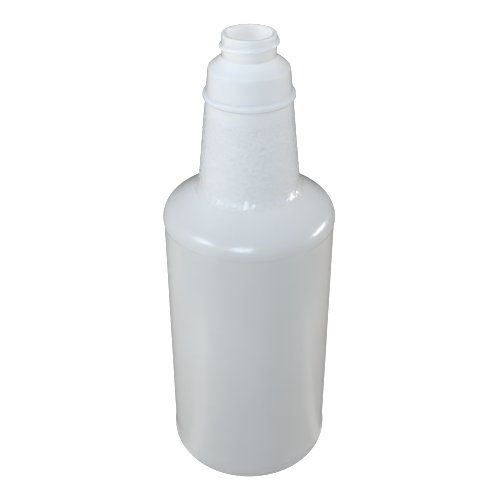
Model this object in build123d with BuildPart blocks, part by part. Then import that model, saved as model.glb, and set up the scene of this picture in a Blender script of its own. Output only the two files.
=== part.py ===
"""Graduated plastic bottle: a blown dispenser bottle of about one litre with a 28 mm threaded mouth.

Millimetres, +Z up. The bottle stands on z = 0 with its axis on Z. Its front is at -Y and its scale at +Y.
"""
import math
import os

from build123d import *

# Body: a bumper band at the base and one at the shoulder, with the label panel lying a little inside them.
bottle_height = 244.0
body_diameter = 86.8
base_band = 2.4
panel_depth = 0.45
panel_foot_step = 1.6
panel_height = 133.4
panel_head_step = 1.5
shoulder_band = 0.3
edge_round = 0.3

# Foot: an elliptical heel, a flat ring to stand on and a push-up inside the ring.
heel_width = 14.0
heel_height = 10.9
foot_ring_width = 2.6
push_up = 3.6
push_up_slope_width = 9.0
push_up_round = 3.0

# Shoulder cone and tapered neck; slopes in degrees.
shoulder_slope = 35.7
shoulder_round = 10.2
neck_foot_round = 9.0
neck_foot_room_share = 0.9
neck_taper = 5.74
neck_top_diameter = 38.3
neck_top_round = 0.7

# Bead around the neck.
bead_drop = 12.9
bead_width = 3.5
bead_crest_width = 1.6
bead_proud = 1.4
bead_round_share = 0.5

# Flare between the neck and the mouth, slightly crowned near its foot.
flare_height = 5.45
flare_crown = 0.25
flare_crown_share = 0.2
flare_round = 3.0
flare_root_round = 0.8

# Mouth: the 28 mm finish with a single turn of thread that caps and trigger heads screw on to.
finish_diameter = 25.3
finish_height = 10.45
bore_diameter = 20.8
rim_round_share = 0.22
lip_round_share = 0.36

# Thread: right-handed, with two ends that fade out at the back; turns in degrees.
thread_proud = 1.2
thread_pitch = 4.23
thread_drop_at_front = 4.8
thread_root_width = 2.7
thread_crest_width = 0.9
thread_sink = 0.5
thread_full_turn = 330.0
thread_fade_turn = 36.0
thread_station_turn = 15.0

# Walls.
body_wall = 0.95
neck_wall = 1.15
inner_round = 3.0

# Scale on the back of the panel: raised marks at the heights that whole volumes fill to, in cubic millimetres.
millilitre_step = 50e3
ounce_step = 59.147e3
first_mark = 2
scale_end_margin = 4.0
scale_gap = 8.0
long_mark = 9.0
short_mark = 5.5
mark_thickness = 0.8
mark_proud = 0.3
mark_root = 0.3

# Pinch-off ridge that the mould leaves across the push-up.
pinch_width = 0.9
pinch_proud = 0.5

# Radii and heights that follow from the sizes above.
body_radius = body_diameter / 2
panel_radius = body_radius - panel_depth
inner_radius = panel_radius - body_wall
heel_centre = body_radius - heel_width
push_up_radius = heel_centre - foot_ring_width
push_up_top_radius = push_up_radius - push_up_slope_width
neck_top_radius = neck_top_diameter / 2
finish_radius = finish_diameter / 2
bore_radius = bore_diameter / 2
base_band_top = heel_height + base_band
panel_bottom = base_band_top + panel_foot_step
panel_top = panel_bottom + panel_height
shoulder_bottom = panel_top + panel_head_step
finish_bottom = bottle_height - finish_height
neck_top = finish_bottom - flare_height

# Shoulder: where its cone would meet the body's side, were the corner not rounded.
shoulder_angle = math.radians(shoulder_slope)
shoulder_rate = math.tan(shoulder_angle)
shoulder_corner = (
    shoulder_bottom + shoulder_band + shoulder_round * math.tan((math.pi / 2 - shoulder_angle) / 2)
)
inner_shoulder_corner = (
    shoulder_corner + (body_radius - inner_radius) * shoulder_rate - body_wall / math.cos(shoulder_angle)
)

# Neck: its cone outside, and inside by one wall, square to it.
taper_angle = math.radians(neck_taper)
taper_rate = math.tan(taper_angle)
neck_inset = neck_wall / math.cos(taper_angle)


def neck_radius(height):
    return neck_top_radius + (neck_top - height) * taper_rate


def neck_foot(radius, height, inset):
    """Where the shoulder line from (radius, height) meets the neck's cone, moved in by inset."""
    run = (radius - neck_radius(height) + inset) / (1 - shoulder_rate * taper_rate)
    return radius - run, height + run * shoulder_rate


# Flare: the line from the neck's top to the mouth's foot, and the same line one wall inside.
flare_width = neck_top_radius - finish_radius
flare_rate = flare_height / flare_width
flare_drop = neck_wall * math.hypot(flare_height, flare_width) / flare_width
crown_radius = neck_top_radius - flare_crown_share * flare_width
crown_height = neck_top + flare_crown_share * flare_height + flare_crown
bore_bottom = finish_bottom - flare_drop + (finish_radius - bore_radius) * flare_rate
inner_neck_top = neck_top + (neck_inset * flare_rate - flare_drop) / (1 - taper_rate * flare_rate)

# Bead, rim and lip.
bead_height = neck_top - bead_drop
bead_radius = neck_radius(bead_height) + bead_proud
bead_root = bead_height - bead_width / 2
bead_head = bead_height + bead_width / 2
bead_round = bead_round_share * bead_crest_width
rim_width = finish_radius - bore_radius

# Foot of the neck: its round takes no more than the length of neck that lies below the bead.
foot_radius, foot_height = neck_foot(body_radius, shoulder_corner, 0)
foot_room = neck_foot_room_share * (bead_root - foot_height) / math.cos(taper_angle)
foot_turn = math.pi / 2 - shoulder_angle - taper_angle
foot_round = min(neck_foot_round, foot_room / math.tan(foot_turn / 2))

# Corners from the heel up the outside, over the rim and down the inside: radius, height, round.
wall_corners = [
    (body_radius, base_band_top, edge_round),
    (panel_radius, panel_bottom, edge_round),
    (panel_radius, panel_top, edge_round),
    (body_radius, shoulder_bottom, 0),
    (body_radius, shoulder_corner, shoulder_round),
    (foot_radius, foot_height, foot_round),
    (neck_radius(bead_root), bead_root, edge_round),
    (bead_radius, bead_height - bead_crest_width / 2, bead_round),
    (bead_radius, bead_height + bead_crest_width / 2, bead_round),
    (neck_radius(bead_head), bead_head, edge_round),
    (neck_top_radius, neck_top, neck_top_round),
    (crown_radius, crown_height, flare_round),
    (finish_radius, finish_bottom, flare_root_round),
    (finish_radius, bottle_height, rim_round_share * rim_width),
    (bore_radius, bottle_height, lip_round_share * rim_width),
    (bore_radius, bore_bottom, inner_round),
    (neck_radius(inner_neck_top) - neck_inset, inner_neck_top, inner_round),
    (*neck_foot(inner_radius, inner_shoulder_corner, neck_inset), foot_round + neck_wall),
    (inner_radius, inner_shoulder_corner, shoulder_round - body_wall),
]


def fill_height(volume):
    """Height that a volume fills to in the straight part of the body."""
    heel_drop = heel_height - body_wall
    heel_reach = inner_radius - heel_centre
    heel_volume = math.pi * heel_drop * (
        heel_centre**2 + math.pi / 2 * heel_centre * heel_reach + 2 / 3 * heel_reach**2
    )
    push_up_volume = math.pi / 3 * push_up * (
        push_up_radius**2 + push_up_radius * push_up_top_radius + push_up_top_radius**2
    )
    return heel_height + (volume - heel_volume + push_up_volume) / (math.pi * inner_radius**2)


def thread_fade(turn):
    """Share of the thread's height at an angle from the front: 1, falling to 0 at the two ends."""
    past_full = (abs(turn) - thread_full_turn / 2) / thread_fade_turn
    return 1 - min(max(past_full, 0), 1)


# Thread: sections that stand around the mouth and climb to the right.
thread_turn = thread_full_turn + 2 * thread_fade_turn
station_count = round(thread_turn / thread_station_turn)
thread_root = finish_radius - thread_sink
with BuildPart() as thread:
    for station in range(station_count + 1):
        turn = thread_turn * (station / station_count - 1 / 2)
        crest_rise = thread_sink / 2 + thread_fade(turn) * (thread_sink / 2 + thread_proud)
        around = math.radians(turn - 90)
        outward = (math.cos(around), math.sin(around), 0)
        backward = (math.sin(around), -math.cos(around), 0)
        height = bottle_height - thread_drop_at_front + thread_pitch * turn / 360
        with BuildSketch(Plane((0, 0, height), outward, backward)):
            with BuildLine():
                Polyline(
                    (thread_root, -thread_root_width / 2),
                    (thread_root + crest_rise, -thread_crest_width / 2),
                    (thread_root + crest_rise, thread_crest_width / 2),
                    (thread_root, thread_root_width / 2),
                    close=True,
                )
            make_face()
    loft()

# Scale: ounces to one side of the middle and millilitres to the other, with every second mark long.
with BuildPart() as scale:
    for step, side in ((ounce_step, 1), (millilitre_step, -1)):
        mark = first_mark
        while fill_height(mark * step) < panel_top - scale_end_margin:
            length = short_mark if mark % 2 else long_mark
            with BuildSketch(Plane.XY.offset(fill_height(mark * step) - mark_thickness / 2)):
                Circle(panel_radius + mark_proud)
                Circle(panel_radius - mark_root, mode=Mode.SUBTRACT)
                with Locations((side * (scale_gap + length) / 2, panel_radius)):
                    Rectangle(length, panel_radius, mode=Mode.INTERSECT)
            extrude(amount=mark_thickness)
            mark += 1

with BuildPart() as bottle:
    with BuildSketch(Plane.XZ):
        with BuildLine():
            heel = EllipticalCenterArc(
                (heel_centre, heel_height), heel_width, heel_height, start_angle=270, arc_size=90
            )
            inner_heel = EllipticalCenterArc(
                (heel_centre, heel_height),
                inner_radius - heel_centre,
                heel_height - body_wall,
                start_angle=270,
                arc_size=90,
            )
            FilletPolyline(
                heel @ 1,
                *[(radius, height) for radius, height, corner_round in wall_corners],
                inner_heel @ 1,
                radius=[corner_round for radius, height, corner_round in wall_corners],
            )
            for ring_edge, rise in ((heel @ 0, 0), (inner_heel @ 0, body_wall)):
                FilletPolyline(
                    ring_edge,
                    (push_up_radius, rise),
                    (push_up_top_radius, push_up + rise),
                    (0, push_up + rise),
                    radius=push_up_round,
                )
            Line((0, push_up), (0, push_up + body_wall))
        make_face()
    revolve(axis=Axis.Z)
    add(thread.part)
    add(scale.part)
    with BuildSketch(Plane.XY.offset(push_up - pinch_proud)):
        Rectangle(2 * push_up_top_radius, pinch_width)
    extrude(amount=pinch_proud + body_wall / 2)

os.makedirs("parts", exist_ok=True)
bottle.part.label = "bottle"
export_step(bottle.part, "parts/bottle.step")
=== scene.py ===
import math
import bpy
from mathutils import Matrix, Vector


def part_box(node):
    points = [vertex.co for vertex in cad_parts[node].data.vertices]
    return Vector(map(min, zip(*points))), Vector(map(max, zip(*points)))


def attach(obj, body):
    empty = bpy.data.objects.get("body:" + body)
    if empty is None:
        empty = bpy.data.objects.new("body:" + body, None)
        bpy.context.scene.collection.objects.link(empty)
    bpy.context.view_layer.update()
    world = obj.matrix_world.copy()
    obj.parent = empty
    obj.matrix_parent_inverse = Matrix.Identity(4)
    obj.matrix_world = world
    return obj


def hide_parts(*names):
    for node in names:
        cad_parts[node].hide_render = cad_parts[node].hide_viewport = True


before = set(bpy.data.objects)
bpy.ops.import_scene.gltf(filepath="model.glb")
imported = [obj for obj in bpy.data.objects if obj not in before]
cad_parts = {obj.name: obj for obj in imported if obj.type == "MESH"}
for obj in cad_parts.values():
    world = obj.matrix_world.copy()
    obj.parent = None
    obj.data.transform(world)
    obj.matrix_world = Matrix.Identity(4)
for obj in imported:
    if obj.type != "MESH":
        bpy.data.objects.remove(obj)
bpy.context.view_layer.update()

from types import SimpleNamespace

import bmesh
import bpy
import numpy as np
from mathutils import Vector, noise

mm = 0.001


# shader helper

class Wire:
    # a socket that Python's own operators work on
    def __init__(self, tree, socket=None):
        self.tree = tree
        self.socket = socket

    def node(self, kind, settings=None, sockets=None, out=0):
        made = self.tree.nodes.new(kind)
        for name, value in (settings or {}).items():
            setattr(made, name, value)
        for name, value in (sockets or {}).items():
            if isinstance(value, Wire):
                self.tree.links.new(value.socket, made.inputs[name])
            else:
                made.inputs[name].default_value = value
        return Wire(self.tree, made.outputs[out] if made.outputs else None)

    def math(self, operation, first, second):
        return self.node("ShaderNodeMath", {"operation": operation}, {0: first, 1: second})

    def __add__(self, other):
        return self.math("ADD", self, other)

    def __radd__(self, other):
        return self.math("ADD", other, self)

    def __sub__(self, other):
        return self.math("SUBTRACT", self, other)

    def __rsub__(self, other):
        return self.math("SUBTRACT", other, self)

    def __mul__(self, other):
        return self.math("MULTIPLY", self, other)

    def __rmul__(self, other):
        return self.math("MULTIPLY", other, self)

    def __pow__(self, other):
        return self.math("POWER", self, other)

    def stretched(self, scales):
        return self.node("ShaderNodeVectorMath", {"operation": "MULTIPLY"}, {0: self, 1: scales})

    def noise(self, size, detail):
        return self.node("ShaderNodeTexNoise", {}, {"Vector": self, "Scale": 1 / size, "Detail": detail})

    def between(self, low, high):
        return self.node(
            "ShaderNodeMapRange",
            {"interpolation_type": "SMOOTHSTEP"},
            {"Value": self, "From Min": low, "From Max": high},
        )

    def over(self, below, above):
        # mixes from the first colour to the second
        return self.node("ShaderNodeMix", {"data_type": "RGBA"}, {0: self, 6: below, 7: above}, out=2)

    def seen(self):
        # 1 where the camera, a mirror or glass looks on, 0 for light on its way
        path = {}
        for name in ("Is Camera Ray", "Is Glossy Ray", "Is Transmission Ray"):
            path[name] = self.node("ShaderNodeLightPath", out=name)
        return path["Is Camera Ray"] + path["Is Glossy Ray"] + path["Is Transmission Ray"]


def newMaterial(name):
    material = bpy.data.materials.new(name)
    material.use_nodes = True
    material.node_tree.nodes.clear()
    return material, Wire(material.node_tree)


# milky natural plastic: whiter towards the mouth, where the wall is thicker; darker towards the bottom and
# paler over the upward-facing shoulder as painted shade and painted light
plasticLook = {
    # the bottom colour is darker partly by painted shade, blended up over the whole panel; the neck colour
    # starts low so that it covers the shoulder as painted light on its upward-facing slope
    "footColourAndShade": (0.53, 0.517, 0.507),
    "bodyColour": (0.597, 0.589, 0.578),
    "neckColour": (0.727, 0.729, 0.737),
    "mouthColour": (0.82, 0.817, 0.814),
    "lipColour": (0.77, 0.768, 0.766),
    "bodyHeights": (0.0, 0.14),
    "neckHeights": (0.143, 0.175),
    "mouthHeights": (0.226, 0.235),
    "lipHeights": (0.2365, 0.2395),
    "streakSize": 0.022,
    "streakStretch": (1.0, 1.0, 0.05),
    "streakRange": (0.7, 1.4),
    "streakShare": 0.06,
    "cloudSize": 0.045,
    "roughness": 0.4,
    "roughnessSpread": 0.06,
    "peelSize": 0.0022,
    "peelDepth": 0.000012,
    "subsurface": 1.0,
    "subsurfaceRadius": (1.0, 1.05, 1.15),
    "subsurfaceScale": 0.002,
    "refraction": 1.52,
    "letThrough": (0.93, 0.935, 0.94),
    "specular": 0.1,
    "gloss": 0.5,
    "glossSpread": 0.02,
    "edgeGloss": 1.0,
    "edgePower": 3.0,
    "glossRefraction": 2.2,
    "glossRoughness": 0.19,
}


def naturalPlastic(name, look, grain=None):
    material, wire = newMaterial(name)
    place = wire.node("ShaderNodeTexCoord", out="Object")
    height = wire.node("ShaderNodeSeparateXYZ", {}, {0: place}, out="Z")
    streak = place.stretched(look["streakStretch"]).noise(look["streakSize"], 0.0)
    cloud = place.noise(look["cloudSize"], 1.0)
    # colour by height: the darkening towards the bottom is painted shade, the paler shoulder painted light,
    # the whiter mouth the thicker wall
    colour = (*look["footColourAndShade"], 1)
    for part in ("body", "neck", "mouth", "lip"):
        colour = height.between(*look[part + "Heights"]).over(colour, (*look[part + "Colour"], 1))
    paler = (streak + cloud).between(*look["streakRange"]) * look["streakShare"]
    colour = paler.over(colour, (1, 1, 1, 1))
    roughness = look["roughness"] + (cloud + streak - 1) * look["roughnessSpread"]
    grazing = wire.node("ShaderNodeLayerWeight", out="Facing")
    gloss = look["gloss"] + (cloud - streak) * look["glossSpread"]
    gloss = gloss + grazing ** look["edgePower"] * look["edgeGloss"]
    peel = place.noise(look["peelSize"], 1.0)
    bump = wire.node(
        "ShaderNodeBump", {}, {"Strength": 1.0, "Distance": look["peelDepth"], "Height": peel}
    )
    if grain:
        pebble = wire.node(
            "ShaderNodeTexVoronoi",
            {"feature": "SMOOTH_F1"},
            {"Vector": place, "Scale": 1 / grain["size"], "Smoothness": grain["smoothness"]},
            out="Distance",
        )
        bump = wire.node(
            "ShaderNodeBump",
            {"invert": True},
            {"Strength": 1.0, "Distance": grain["depth"], "Height": pebble, "Normal": bump},
        )
    surface = wire.node(
        "ShaderNodeBsdfPrincipled",
        {"subsurface_method": "RANDOM_WALK"},
        {
            "Base Color": colour,
            "Roughness": roughness,
            "Normal": bump,
            "IOR": look["refraction"],
            "Subsurface Weight": look["subsurface"],
            "Subsurface Radius": look["subsurfaceRadius"],
            "Subsurface Scale": look["subsurfaceScale"],
            "Specular IOR Level": look["specular"],
            "Coat Weight": gloss,
            "Coat Roughness": look["glossRoughness"],
            "Coat IOR": look["glossRefraction"],
        },
    )
    shade = wire.node("ShaderNodeLightPath", out="Is Shadow Ray")
    letThrough = wire.node("ShaderNodeBsdfTransparent", {}, {"Color": (*look["letThrough"], 1)})
    lit = wire.node("ShaderNodeMixShader", {}, {0: shade, 1: surface, 2: letThrough})
    wire.node("ShaderNodeOutputMaterial", {}, {"Surface": lit})
    return material


# stippled skin of the neck, and the thick wall of the mouth, through which light travels further
stippledLook = {**plasticLook, "specular": 0.45, "gloss": 0.45, "glossRoughness": 0.14}
stippleGrain = {"size": 0.001, "smoothness": 0.6, "depth": 0.00012}
satinPlastic = naturalPlastic("satinPlastic", plasticLook)
stippledPlastic = naturalPlastic("stippledPlastic", stippledLook, stippleGrain)
mouthLook = {**plasticLook, "subsurfaceScale": 0.006, "glossRefraction": 2.6}
mouthPlastic = naturalPlastic("mouthPlastic", mouthLook)
print("materials made")


# the bottle's outline, in millimetres and degrees, as the solid has it
bottleForm = SimpleNamespace(
    bodyRadius=43.4,
    heelWidth=14.0,
    heelHeight=10.9,
    footRing=2.6,
    pushUp=3.6,
    pushUpSlope=9.0,
    pushUpRound=3.0,
    baseBand=2.4,
    panelDepth=0.45,
    footStep=1.6,
    panelHeight=133.4,
    headStep=1.5,
    edgeRound=0.3,
    shoulderBand=0.3,
    shoulderSlope=35.7,
    shoulderRound=10.2,
    neckFootRound=9.0,
    neckTaper=5.74,
    neckTopRadius=19.15,
    neckTopRound=0.7,
    beadDrop=12.9,
    beadWidth=3.5,
    beadCrest=1.6,
    beadProud=1.4,
    beadRound=0.35,
    flareHeight=5.45,
    flareCrown=0.25,
    flareCrownShare=0.2,
    flareRound=3.0,
    flareRootRound=0.8,
    finishRadius=12.65,
    finishHeight=10.45,
    boreRadius=10.4,
    rimRound=0.495,
    lipRound=0.81,
    bodyWall=0.95,
    neckWall=1.15,
    innerRound=3.0,
)


def placeLevels(form):
    # heights and radii that follow from the sizes
    form.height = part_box("bottle")[1].z / mm
    form.panelRadius = form.bodyRadius - form.panelDepth
    form.innerRadius = form.panelRadius - form.bodyWall
    form.heelCentre = form.bodyRadius - form.heelWidth
    form.pushUpRadius = form.heelCentre - form.footRing
    form.pushUpTop = form.pushUpRadius - form.pushUpSlope
    form.bandTop = form.heelHeight + form.baseBand
    form.panelFoot = form.bandTop + form.footStep
    form.panelHead = form.panelFoot + form.panelHeight
    form.shoulderFoot = form.panelHead + form.headStep
    form.finishFoot = form.height - form.finishHeight
    form.neckTop = form.finishFoot - form.flareHeight
    form.slope = math.radians(form.shoulderSlope)
    form.taper = math.radians(form.neckTaper)
    form.neckInset = form.neckWall / math.cos(form.taper)
    turn = math.pi / 2 - form.slope
    form.shoulderCorner = form.shoulderFoot + form.shoulderBand + form.shoulderRound * math.tan(turn / 2)


def neckRadius(form, height):
    return form.neckTopRadius + (form.neckTop - height) * math.tan(form.taper)


def neckFoot(form, radius, height, inset):
    # where the shoulder's line from (radius, height) meets the neck's cone
    rise = math.tan(form.slope)
    run = (radius - neckRadius(form, height) + inset) / (1 - rise * math.tan(form.taper))
    return radius - run, height + run * rise


def wallCorners(form):
    # radius, height and round of each corner: up the outside, over the rim, down the inside
    flareWidth = form.neckTopRadius - form.finishRadius
    flareRate = form.flareHeight / flareWidth
    flareDrop = form.neckWall * math.hypot(1, flareRate)
    taperRate = math.tan(form.taper)
    crown = (
        form.neckTopRadius - form.flareCrownShare * flareWidth,
        form.neckTop + form.flareCrownShare * form.flareHeight + form.flareCrown,
    )
    boreFoot = form.finishFoot - flareDrop + (form.finishRadius - form.boreRadius) * flareRate
    innerTop = form.neckTop + (form.neckInset * flareRate - flareDrop) / (1 - taperRate * flareRate)
    innerShoulder = (
        form.shoulderCorner
        + (form.bodyRadius - form.innerRadius) * math.tan(form.slope)
        - form.bodyWall / math.cos(form.slope)
    )
    bead = form.neckTop - form.beadDrop
    beadRadius = neckRadius(form, bead) + form.beadProud
    beadFoot = bead - form.beadWidth / 2
    beadHead = bead + form.beadWidth / 2
    return [
        (form.bodyRadius, form.heelHeight, 0),
        (form.bodyRadius, form.bandTop, form.edgeRound),
        (form.panelRadius, form.panelFoot, form.edgeRound),
        (form.panelRadius, form.panelHead, form.edgeRound),
        (form.bodyRadius, form.shoulderFoot, form.edgeRound / 2),
        (form.bodyRadius, form.shoulderCorner, form.shoulderRound),
        (*neckFoot(form, form.bodyRadius, form.shoulderCorner, 0), form.neckFootRound),
        (neckRadius(form, beadFoot), beadFoot, form.edgeRound),
        (beadRadius, bead - form.beadCrest / 2, form.beadRound),
        (beadRadius, bead + form.beadCrest / 2, form.beadRound),
        (neckRadius(form, beadHead), beadHead, form.edgeRound),
        (form.neckTopRadius, form.neckTop, form.neckTopRound),
        (*crown, form.flareRound),
        (form.finishRadius, form.finishFoot, form.flareRootRound),
        (form.finishRadius, form.height, form.rimRound),
        (form.boreRadius, form.height, form.lipRound),
        (form.boreRadius, boreFoot, form.innerRound),
        (neckRadius(form, innerTop) - form.neckInset, innerTop, form.innerRound),
        (
            *neckFoot(form, form.innerRadius, innerShoulder, form.neckInset),
            form.neckFootRound + form.neckWall,
        ),
        (form.innerRadius, innerShoulder, form.shoulderRound - form.bodyWall),
        (form.innerRadius, form.heelHeight, 0),
    ]


arcSteps = {"wide": 6.0, "tight": 10.0, "tightRound": 1.0}  # degrees, and the largest round that is tight


def roundedPath(corners):
    # straight runs with each corner's arc in even steps, longer ones in tight rounds
    path = [corners[0][:2]]
    for before, corner, after in zip(corners, corners[1:], corners[2:]):
        here = np.array(corner[:2])
        back = np.array(before[:2]) - here
        ahead = np.array(after[:2]) - here
        back = back / np.linalg.norm(back)
        ahead = ahead / np.linalg.norm(ahead)
        if corner[2] == 0:
            path.append(here)
            continue
        half = math.acos(np.clip(back @ ahead, -1, 1)) / 2
        reach = corner[2] / math.tan(half)
        middle = (back + ahead) / np.linalg.norm(back + ahead)
        centre = here + middle * corner[2] / math.sin(half)
        first = here + back * reach - centre
        last = here + ahead * reach - centre
        turn = math.pi - 2 * half
        sense = np.sign(first[0] * last[1] - first[1] * last[0])
        arcStep = arcSteps["wide" if corner[2] > arcSteps["tightRound"] else "tight"]
        steps = max(2, round(math.degrees(turn) / arcStep))
        for step in range(steps + 1):
            angle = sense * turn * step / steps
            cosine, sine = math.cos(angle), math.sin(angle)
            path.append(centre + (first[0] * cosine - first[1] * sine, first[0] * sine + first[1] * cosine))
    path.append(corners[-1][:2])
    return np.array(path)


def heelPath(form, reach, drop, steps=12):
    # quarter ellipse from the foot ring up to the side
    angles = np.linspace(-math.pi / 2, 0, steps + 1)
    return np.c_[form.heelCentre + reach * np.cos(angles), form.heelHeight + drop * np.sin(angles)]


def floorPath(form, rise):
    # from the axis over the push-up to the foot ring
    return roundedPath(
        [
            (0, form.pushUp + rise),
            (form.pushUpTop, form.pushUp + rise, form.pushUpRound),
            (form.pushUpRadius, rise, form.pushUpRound),
            (form.heelCentre, rise),
        ]
    )


placeLevels(bottleForm)
print("outline set out, neck top at", round(bottleForm.neckTop, 2), "mm")


# shell: one lathe mesh, with the stipple, thread and slight unevenness as real relief
shellMesh = {
    "segments": 276,
    "stippleStep": 0.42,
    "finishStep": 0.22,
    "panelStep": 6.0,
}
neckStipple = {
    "foot": 166.6,
    "top": 207.6,
    "edge": 0.35,
    "cell": 1.3,
    "level": 0.5,
    "depth": 0.5,
}
mouthThread = {
    "proud": 1.2,
    "pitch": 4.23,
    "dropAtFront": 4.8,
    "rootWidth": 2.7,
    "crestWidth": 0.9,
    "fullTurn": 330.0,
    "fadeTurn": 36.0,
}
panelWaves = {"depth": 0.05, "size": 38.0, "fade": 12.0}


def smooth(value, low, high):
    share = np.clip((value - low) / (high - low), 0, 1)
    return share * share * (3 - 2 * share)


def rowStep(form, height):
    # widest spacing of the rings at a height outside
    if neckStipple["foot"] - 0.5 < height < neckStipple["top"] + 0.5:
        return shellMesh["stippleStep"]
    if form.finishFoot < height < form.height - form.rimRound:
        return shellMesh["finishStep"]
    return shellMesh["panelStep"]


def shellPath(form):
    # closed section: base underside, outside, rim, inside, base inside
    outside = np.concatenate(
        [
            floorPath(form, 0)[:-1],
            heelPath(form, form.heelWidth, form.heelHeight)[:-1],
            roundedPath(wallCorners(form))[:-1],
        ]
    )
    rim = int(np.argmax(outside[:, 1]))
    fine = [outside[0]]
    for start, end in zip(outside[:rim], outside[1 : rim + 1]):
        length = np.linalg.norm(end - start)
        count = max(1, math.ceil(length / rowStep(form, (start[1] + end[1]) / 2)))
        fine.extend(start + (end - start) * step / count for step in range(1, count + 1))
    outer = np.array(fine)
    inner = np.concatenate(
        [
            outside[rim + 1 :],
            heelPath(form, form.innerRadius - form.heelCentre, form.heelHeight - form.bodyWall)[::-1],
            floorPath(form, form.bodyWall)[::-1][1:],
        ]
    )
    return outer, inner


def pathNormals(path):
    along = np.gradient(path, axis=0)
    normal = np.c_[along[:, 1], -along[:, 0]]
    return normal / np.linalg.norm(normal, axis=1)[:, None]


def threadRelief(form, turns, height):
    # height of the thread over the mouth's wall at each angle from the front
    thread = mouthThread
    relief = np.zeros_like(turns)
    for wrap in (-360, 0, 360):
        turn = turns + wrap
        fade = 1 - smooth(np.abs(turn), thread["fullTurn"] / 2, thread["fullTurn"] / 2 + thread["fadeTurn"])
        middle = form.height - thread["dropAtFront"] + thread["pitch"] * turn / 360
        flank = np.abs(height - middle)
        section = 1 - smooth(flank, thread["crestWidth"] / 2, thread["rootWidth"] / 2)
        relief = np.maximum(relief, thread["proud"] * fade * section)
    return relief


def stippleRelief(points):
    # soft pebbles of uneven size
    relief = np.zeros(len(points))
    for index, point in enumerate(points):
        near = noise.voronoi(Vector(point) / neckStipple["cell"])[0]
        relief[index] = neckStipple["level"] - near[0]
    return relief * neckStipple["depth"]


def waveRelief(points):
    swell = [noise.noise(Vector(point) / panelWaves["size"]) for point in points]
    return np.array(swell) * panelWaves["depth"]


def shellRings(form):
    # points of every ring, relief included, and its finish: 0 satin, 1 stippled, 2 mouth
    outer, inner = shellPath(form)
    path = np.concatenate([outer, inner])
    normals = pathNormals(path)
    angles = 2 * math.pi * np.arange(shellMesh["segments"]) / shellMesh["segments"]
    turns = (np.degrees(angles) + 90 + 180) % 360 - 180
    finishes = []
    rings = []
    for index, (radius, height) in enumerate(path):
        outside = index < len(outer)
        relief = np.zeros(len(angles))
        circle = np.c_[radius * np.cos(angles), radius * np.sin(angles), np.full(len(angles), height)]
        edge = neckStipple["edge"]
        cover = smooth(height, neckStipple["foot"], neckStipple["foot"] + edge)
        cover = cover * (1 - smooth(height, neckStipple["top"] - edge, neckStipple["top"]))
        if outside and cover > 0:
            relief = relief + cover * stippleRelief(circle)
        if outside and height > form.finishFoot and radius > form.boreRadius + form.rimRound:
            relief = relief + threadRelief(form, turns, height)
        if outside and form.panelFoot < height < form.panelHead:
            ends = smooth(height, form.panelFoot, form.panelFoot + panelWaves["fade"])
            ends = ends * (1 - smooth(height, form.panelHead - panelWaves["fade"], form.panelHead))
            relief = relief + ends * waveRelief(circle)
        if outside and cover > 0:
            finishes.append(1)
        else:
            finishes.append(2 if height > form.finishFoot else 0)
        spread = relief * normals[index][0]
        circle[:, 0] += spread * np.cos(angles)
        circle[:, 1] += spread * np.sin(angles)
        circle[:, 2] += relief * normals[index][1]
        rings.append(circle)
    return rings, finishes


def latheMesh(name, rings):
    # rings joined in order, with a single point at each end on the axis
    count = len(rings[0])
    points = [rings[0][:1]]
    points.extend(rings[1:-1])
    points.append(rings[-1][:1])
    vertices = np.concatenate(points) * mm
    faces = []
    for segment in range(count):
        faces.append((0, 1 + (segment + 1) % count, 1 + segment))
    for ring in range(len(rings) - 3):
        low = 1 + ring * count
        for segment in range(count):
            beside = (segment + 1) % count
            faces.append((low + segment, low + beside, low + count + beside, low + count + segment))
    last = 1 + (len(rings) - 3) * count
    tip = len(vertices) - 1
    for segment in range(count):
        faces.append((last + segment, last + (segment + 1) % count, tip))
    mesh = bpy.data.meshes.new(name)
    mesh.from_pydata(vertices.tolist(), [], faces)
    mesh.polygons.foreach_set("use_smooth", np.ones(len(faces), dtype=bool))
    return mesh


def addPiece(name, mesh, materials):
    piece = bpy.data.objects.new(name, mesh)
    bpy.context.scene.collection.objects.link(piece)
    for material in materials:
        mesh.materials.append(material)
    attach(piece, "root")
    return piece


def makeShell(form):
    rings, finishes = shellRings(form)
    mesh = latheMesh("bottleShell", rings)
    shell = addPiece("bottleShell", mesh, [satinPlastic, stippledPlastic, mouthPlastic])
    faceFinishes = np.repeat(finishes[:-1], shellMesh["segments"]).astype(np.int32)
    mesh.polygons.foreach_set("material_index", faceFinishes)
    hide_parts("bottle")
    return shell


shell = makeShell(bottleForm)
print("shell made,", len(shell.data.polygons), "faces")


# raised bars: a rounded section (shares of the width, and of the rise or root) swept along a route
barSection = ((-0.5, -1.0), (-0.44, 0.5), (-0.24, 1.0), (0.24, 1.0), (0.44, 0.5), (0.5, -1.0))


def barRing(middle, out, across, width, proud, root):
    return [
        middle + across * side * width + out * rise * (proud if rise > 0 else root)
        for side, rise in barSection
    ]


def solidMesh(name, points, faces, sharpAngle=math.radians(40)):
    # closed pieces with their faces turned outwards
    mesh = bpy.data.meshes.new(name)
    mesh.from_pydata((np.array(points) * mm).tolist(), [], faces)
    turned = bmesh.new()
    turned.from_mesh(mesh)
    bmesh.ops.recalc_face_normals(turned, faces=turned.faces)
    turned.to_mesh(mesh)
    turned.free()
    mesh.polygons.foreach_set("use_smooth", np.ones(len(mesh.polygons), dtype=bool))
    mesh.set_sharp_from_angle(angle=sharpAngle)
    return mesh


def sweptMesh(name, bars):
    points, faces = [], []
    corners = len(barSection)
    for bar in bars:
        first = len(points)
        for ring in bar:
            points.extend(ring)
        last = len(points) - corners
        for low in range(first, last, corners):
            for corner in range(corners):
                beside = (corner + 1) % corners
                faces.append((low + corner, low + beside, low + corners + beside, low + corners + corner))
        faces.append(tuple(range(first, first + corners)))
        faces.append(tuple(range(last, last + corners)))
    return solidMesh(name, points, faces)


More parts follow.
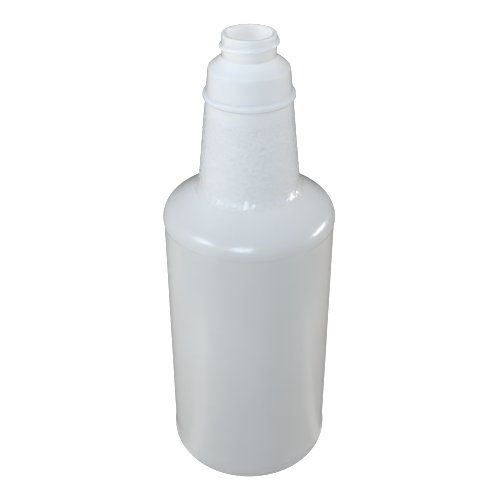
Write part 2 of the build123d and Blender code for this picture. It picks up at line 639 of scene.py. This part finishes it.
# scale on the back: ounces on one side of the middle, millilitres on the other
scaleMarks = {
    "units": {"oz": (2, 59147.0, 1), "ml": (50, 50000.0, -1)},  # worth, cubic millimetres, side
    "firstMark": 2,
    "endMargin": 4.0,
    "gap": 8.0,
    "longMark": 9.0,
    "shortMark": 5.5,
    "thickness": 0.8,
    "proud": 0.3,
    "root": 0.3,
    "stations": (0, 0.02, 0.06, 0.2, 0.35, 0.5, 0.65, 0.8, 0.94, 0.98, 1),
    "endShare": 0.06,
    "endDrop": 0.6,
}


def fillHeight(form, volume):
    # height that a volume fills to in the straight part of the body
    drop = form.heelHeight - form.bodyWall
    reach = form.innerRadius - form.heelCentre
    heel = math.pi * drop * (
        form.heelCentre**2 + math.pi / 2 * form.heelCentre * reach + 2 / 3 * reach**2
    )
    dome = math.pi / 3 * form.pushUp * (
        form.pushUpRadius**2 + form.pushUpRadius * form.pushUpTop + form.pushUpTop**2
    )
    return form.heelHeight + (volume - heel + dome) / (math.pi * form.innerRadius**2)


def scaleRows(form):
    # unit, number, side, height and length of each mark
    for unit, (worth, volume, side) in scaleMarks["units"].items():
        mark = scaleMarks["firstMark"]
        while fillHeight(form, mark * volume) < form.panelHead - scaleMarks["endMargin"]:
            length = scaleMarks["shortMark"] if mark % 2 else scaleMarks["longMark"]
            yield unit, mark * worth, side, fillHeight(form, mark * volume), length
            mark += 1


def makeMarks(form):
    bars = []
    up = np.array([0, 0, 1])
    for unit, number, side, height, length in scaleRows(form):
        bar = []
        for share in scaleMarks["stations"]:
            x = side * (scaleMarks["gap"] / 2 + share * length)
            out = np.array([x, math.sqrt(form.panelRadius**2 - x**2), 0]) / form.panelRadius
            fromEnd = max(0, 1 - min(share, 1 - share) / scaleMarks["endShare"])
            rounding = 1 - fromEnd * scaleMarks["endDrop"]
            middle = out * form.panelRadius + up * height
            thickness = scaleMarks["thickness"] * (1 + rounding) / 2
            proud = scaleMarks["proud"] * rounding
            bar.append(barRing(middle, out, up, thickness, proud, scaleMarks["root"]))
        bars.append(bar)
    return addPiece("scaleMarks", sweptMesh("scaleMarks", bars), [satinPlastic])


scaleFigures = {"size": 5.4, "proud": 0.26, "root": 0.24, "bevel": 0.07, "clear": 1.8, "curveSteps": 5}


def letterShape(text, align):
    # plain raised type, as points and faces in the plane of the words
    curve = bpy.data.curves.new("letters", "FONT")
    curve.body = text
    curve.size = scaleFigures["size"]
    curve.align_x = align
    curve.align_y = "CENTER"
    curve.bevel_depth = scaleFigures["bevel"]
    curve.extrude = (scaleFigures["proud"] + scaleFigures["root"]) / 2 - scaleFigures["bevel"]
    curve.resolution_u = scaleFigures["curveSteps"]
    letters = bpy.data.objects.new("letters", curve)
    bpy.context.scene.collection.objects.link(letters)
    shape = bpy.data.meshes.new_from_object(letters.evaluated_get(bpy.context.evaluated_depsgraph_get()))
    points = np.array([vertex.co[:] for vertex in shape.vertices])
    faces = [tuple(face.vertices) for face in shape.polygons]
    bpy.data.objects.remove(letters)
    bpy.data.curves.remove(curve)
    bpy.data.meshes.remove(shape)
    return points, faces


def makeFigures(form):
    points, faces = [], []
    rows = [row for row in scaleRows(form) if row[4] == scaleMarks["longMark"]]
    topRows = {unit: height for unit, number, side, height, length in rows}
    for unit, number, side, height, length in rows:
        text = f"{number} {unit}" if height == topRows[unit] else str(number)
        shape, shapeFaces = letterShape(text, "RIGHT" if side > 0 else "LEFT")
        start = side * (scaleMarks["gap"] / 2 + length + scaleFigures["clear"])
        radius = form.panelRadius + (scaleFigures["proud"] - scaleFigures["root"]) / 2 + shape[:, 2]
        angle = math.asin(start / form.panelRadius) - shape[:, 0] / form.panelRadius
        first = sum(len(group) for group in points)
        points.append(np.c_[radius * np.sin(angle), radius * np.cos(angle), height + shape[:, 1]])
        faces.extend(tuple(first + corner for corner in face) for face in shapeFaces)
    mesh = solidMesh("scaleFigures", np.concatenate(points), faces)
    return addPiece("scaleFigures", mesh, [satinPlastic])


# parting line of the mould, up both sides
partingLine = {
    "width": 0.5,
    "proud": 0.1,
    "root": 0.15,
    "start": 0.8,
    "level": 0.7,
    "uneven": 0.6,
    "unevenSize": 9.0,
}


def makePartingLine(form):
    outer = shellPath(form)[0]
    normals = pathNormals(outer)
    bars = []
    for side in (1, -1):
        bar = []
        for (radius, height), (outR, outZ) in zip(outer, normals):
            inRange = partingLine["start"] < height < form.height - form.rimRound
            if radius < form.finishRadius or not inRange:
                continue
            uneven = noise.noise(Vector((side, 0, height / partingLine["unevenSize"])))
            share = partingLine["level"] + partingLine["uneven"] * uneven
            proud = min(partingLine["proud"] * share, form.bodyRadius - radius)
            middle = np.array([side * radius, 0, height])
            out = np.array([side * outR, 0, outZ])
            bar.append(
                barRing(middle, out, np.array([0, 1, 0]), partingLine["width"], proud, partingLine["root"])
            )
        bars.append(bar)
    return addPiece("partingLine", sweptMesh("partingLine", bars), [satinPlastic])


# pinch-off ridge across the push-up, a little ragged
pinchOff = {
    "width": 0.9,
    "proud": 0.5,
    "root": 0.4,
    "steps": 48,
    "uneven": 0.2,
    "unevenSize": 2.6,
    "wander": 0.12,
    "endShare": 0.125,
    "endProud": 0.2,
}


def makePinchOff(form):
    bar = []
    for step in range(pinchOff["steps"] + 1):
        share = 2 * step / pinchOff["steps"] - 1
        x = share * form.pushUpTop
        uneven = noise.noise(Vector((x / pinchOff["unevenSize"], 0, 0)))
        ends = min(1, (1 - abs(share)) / pinchOff["endShare"])
        ends = pinchOff["endProud"] + (1 - pinchOff["endProud"]) * ends
        proud = pinchOff["proud"] * (1 - pinchOff["uneven"] * (1 - uneven)) * ends
        middle = np.array([x, pinchOff["wander"] * uneven, form.pushUp])
        down = np.array([0, 0, -1])
        bar.append(barRing(middle, down, np.array([0, 1, 0]), pinchOff["width"], proud, pinchOff["root"]))
    return addPiece("pinchOff", sweptMesh("pinchOff", [bar]), [satinPlastic])


for make in (makeMarks, makeFigures, makePartingLine, makePinchOff):
    piece = make(bottleForm)
    print(piece.name, "made,", len(piece.data.polygons), "faces")


# stage: pale floor, soft lamps
floorLook = {"colour": (0.8, 0.79, 0.77), "glow": 0.93, "size": 12.0}


def makeFloor(look):
    material, wire = newMaterial("paleFloor")
    matt = wire.node("ShaderNodeBsdfDiffuse", {}, {"Color": (*look["colour"], 1)})
    strength = wire.seen() * look["glow"]
    glow = wire.node("ShaderNodeEmission", {}, {"Color": (1, 1, 1, 1), "Strength": strength})
    both = wire.node("ShaderNodeAddShader", {}, {0: matt, 1: glow})
    wire.node("ShaderNodeOutputMaterial", {}, {"Surface": both})
    half = look["size"] / 2
    mesh = bpy.data.meshes.new("floor")
    corners = [(-half, -half, 0), (half, -half, 0), (half, half, 0), (-half, half, 0)]
    mesh.from_pydata(corners, [], [(0, 1, 2, 3)])
    mesh.materials.append(material)
    floor = bpy.data.objects.new("floor", mesh)
    bpy.context.scene.collection.objects.link(floor)


dimRoom = {
    "inner": 33.0,
    "radius": 2500.0,
    "lift": 0.1,
    "grey": (0.08, 0.085, 0.09),
    "tableGrey": (0.3, 0.3, 0.3),
    "paneGrey": (0.6, 0.6, 0.6),
    "backGrey": (0.3, 0.3, 0.3),
    "tableReach": 190.0,
    "backReach": 420.0,
    "tableTurn": 100,  # degrees to each side of the front
    "panes": ((-62, 12), (79, 9)),  # windows mirrored in the table: degrees round, half width
    "segments": 90,
    "tiers": 12,
    "crownGap": 0.1,
}


def makeDimRoom(room):
    # dim floor and dome that only reflections see, to draw the pale bottle's outline
    mesh = bpy.data.meshes.new("dimRoom")
    for name in ("grey", "tableGrey", "paneGrey", "backGrey"):
        material, wire = newMaterial("dimRoom" + name)
        shade = wire.node("ShaderNodeEmission", {}, {"Color": (*room[name], 1), "Strength": 1.0})
        wire.node("ShaderNodeOutputMaterial", {}, {"Surface": shade})
        mesh.materials.append(material)
    count = room["segments"]
    angles = 2 * math.pi * np.arange(count) / count
    circle = np.c_[np.cos(angles), np.sin(angles), np.zeros(count)]
    rings = []
    for reach in (room["inner"], room["tableReach"], room["backReach"]):
        rings.append(circle * reach + (0, 0, room["lift"]))
    for tier in range(room["tiers"] + 1):
        rise = math.pi / 2 * tier / (room["tiers"] + room["crownGap"])
        ring = circle * math.cos(rise) + (0, 0, math.sin(rise))
        rings.append(ring * room["radius"] + (0, 0, room["lift"]))
    faces, shades = [], []
    for low in range(0, (len(rings) - 1) * count, count):
        for segment in range(count):
            beside = (segment + 1) % count
            turn = (math.degrees(angles[segment]) + 90 + 180) % 360 - 180
            pane = any(abs(turn - middle) < half for middle, half in room["panes"])
            if abs(turn) >= room["tableTurn"]:
                shades.append(3 if low < 2 * count else 0)
            else:
                shades.append(0 if low else 2 if pane else 1)
            faces.append((low + segment, low + beside, low + count + beside, low + count + segment))
    mesh.from_pydata((np.concatenate(rings) * mm).tolist(), [], faces)
    mesh.polygons.foreach_set("material_index", np.array(shades, dtype=np.int32))
    dome = bpy.data.objects.new("dimRoom", mesh)
    bpy.context.scene.collection.objects.link(dome)
    dome.visible_camera = False
    dome.visible_diffuse = False
    dome.visible_transmission = False
    dome.visible_shadow = False


worldLook = {"colour": (1.0, 0.97, 0.93), "strength": 0.2}


def makeWorld(look):
    world = bpy.data.worlds.new("studio")
    world.use_nodes = True
    world.node_tree.nodes.clear()
    wire = Wire(world.node_tree)
    strength = look["strength"] + wire.seen() * (1 - look["strength"])
    sky = wire.node("ShaderNodeBackground", {}, {"Color": (*look["colour"], 1), "Strength": strength})
    wire.node("ShaderNodeOutputWorld", {}, {"Surface": sky})
    bpy.context.scene.world = world


lamps = {  # degrees round from the front (right is positive) and up, metres, watts
    "frontWindow": {"round": -9, "up": 27, "away": 1.2, "size": (0.6, 0.6), "watts": 3.4,
                    "colour": (0.68, 0.86, 1.0)},
    "leftWindow": {"round": -63, "up": 28, "away": 1.0, "size": (0.44, 0.42), "watts": 1.5,
                   "colour": (0.9, 0.95, 1.0)},
    "rightWindow": {"round": 100, "up": 11, "away": 1.0, "size": (0.6, 0.2), "watts": 2.1,
                    "colour": (1.0, 1.0, 1.0)},
    "overFront": {"round": -10, "up": 65, "away": 1.1, "size": (1.0, 1.0), "watts": 4.1,
                  "colour": (0.54, 0.78, 1.0)},
    "overRight": {"round": 70, "up": 50, "away": 1.1, "size": (1.0, 1.0), "watts": 2.7,
                  "colour": (1.0, 0.92, 0.85)},
    "leftFill": {"round": -72, "up": 22, "away": 1.1, "size": (0.8, 0.6), "watts": 2.8,
                 "colour": (0.86, 0.92, 1.0)},
    "rightFill": {"round": 60, "up": 25, "away": 1.1, "size": (0.8, 0.6), "watts": 1.0,
                  "colour": (1.0, 0.78, 0.56)},
    "lowLeft": {"round": -75, "up": 8, "away": 1.0, "size": (0.8, 0.4), "watts": 2.2,
                "colour": (1.0, 0.82, 0.64)},
    "backFill": {"round": 180, "up": 30, "away": 1.1, "size": (1.0, 0.8), "watts": 2.8,
                 "colour": (1.0, 0.97, 0.94)},
}


def makeLamps(aim):
    for name, lamp in lamps.items():
        data = bpy.data.lights.new(name, "AREA")
        data.shape = "ELLIPSE"
        data.size, data.size_y = lamp["size"]
        data.energy = lamp["watts"]
        data.color = lamp["colour"]
        turn, rise = math.radians(lamp["round"]), math.radians(lamp["up"])
        out = Vector((math.sin(turn) * math.cos(rise), -math.cos(turn) * math.cos(rise), math.sin(rise)))
        source = bpy.data.objects.new(name, data)
        source.location = aim + out * lamp["away"]
        source.rotation_euler = (-out).to_track_quat("-Z", "Y").to_euler()
        source.visible_glossy = "Window" in name  # fill lamps leave no highlights
        bpy.context.scene.collection.objects.link(source)


cameraView = {  # millimetres, degrees and the photo's pixels
    "back": 374.8,
    "height": 369.15,
    "pitch": 32.71,
    "focalPixels": 858.43,
    "imagePixels": 500,
    "axisPixel": 249.2,
    "sensor": 36.0,
}


def makeCamera(view):
    data = bpy.data.cameras.new("camera")
    data.sensor_width = view["sensor"]
    data.lens = view["focalPixels"] * view["sensor"] / view["imagePixels"]
    data.shift_x = (view["imagePixels"] / 2 - view["axisPixel"]) / view["imagePixels"]
    data.clip_start = 0.01
    camera = bpy.data.objects.new("camera", data)
    camera.location = (0, -view["back"] * mm, view["height"] * mm)
    camera.rotation_euler = (math.radians(90 - view["pitch"]), 0, 0)
    bpy.context.scene.collection.objects.link(camera)
    bpy.context.scene.camera = camera


makeFloor(floorLook)
makeDimRoom(dimRoom)
makeWorld(worldLook)
makeLamps(Vector((0, 0, bottleForm.panelHead * mm)))
makeCamera(cameraView)
bpy.context.scene.view_settings.view_transform = "Standard"
print("stage, lamps and camera set")
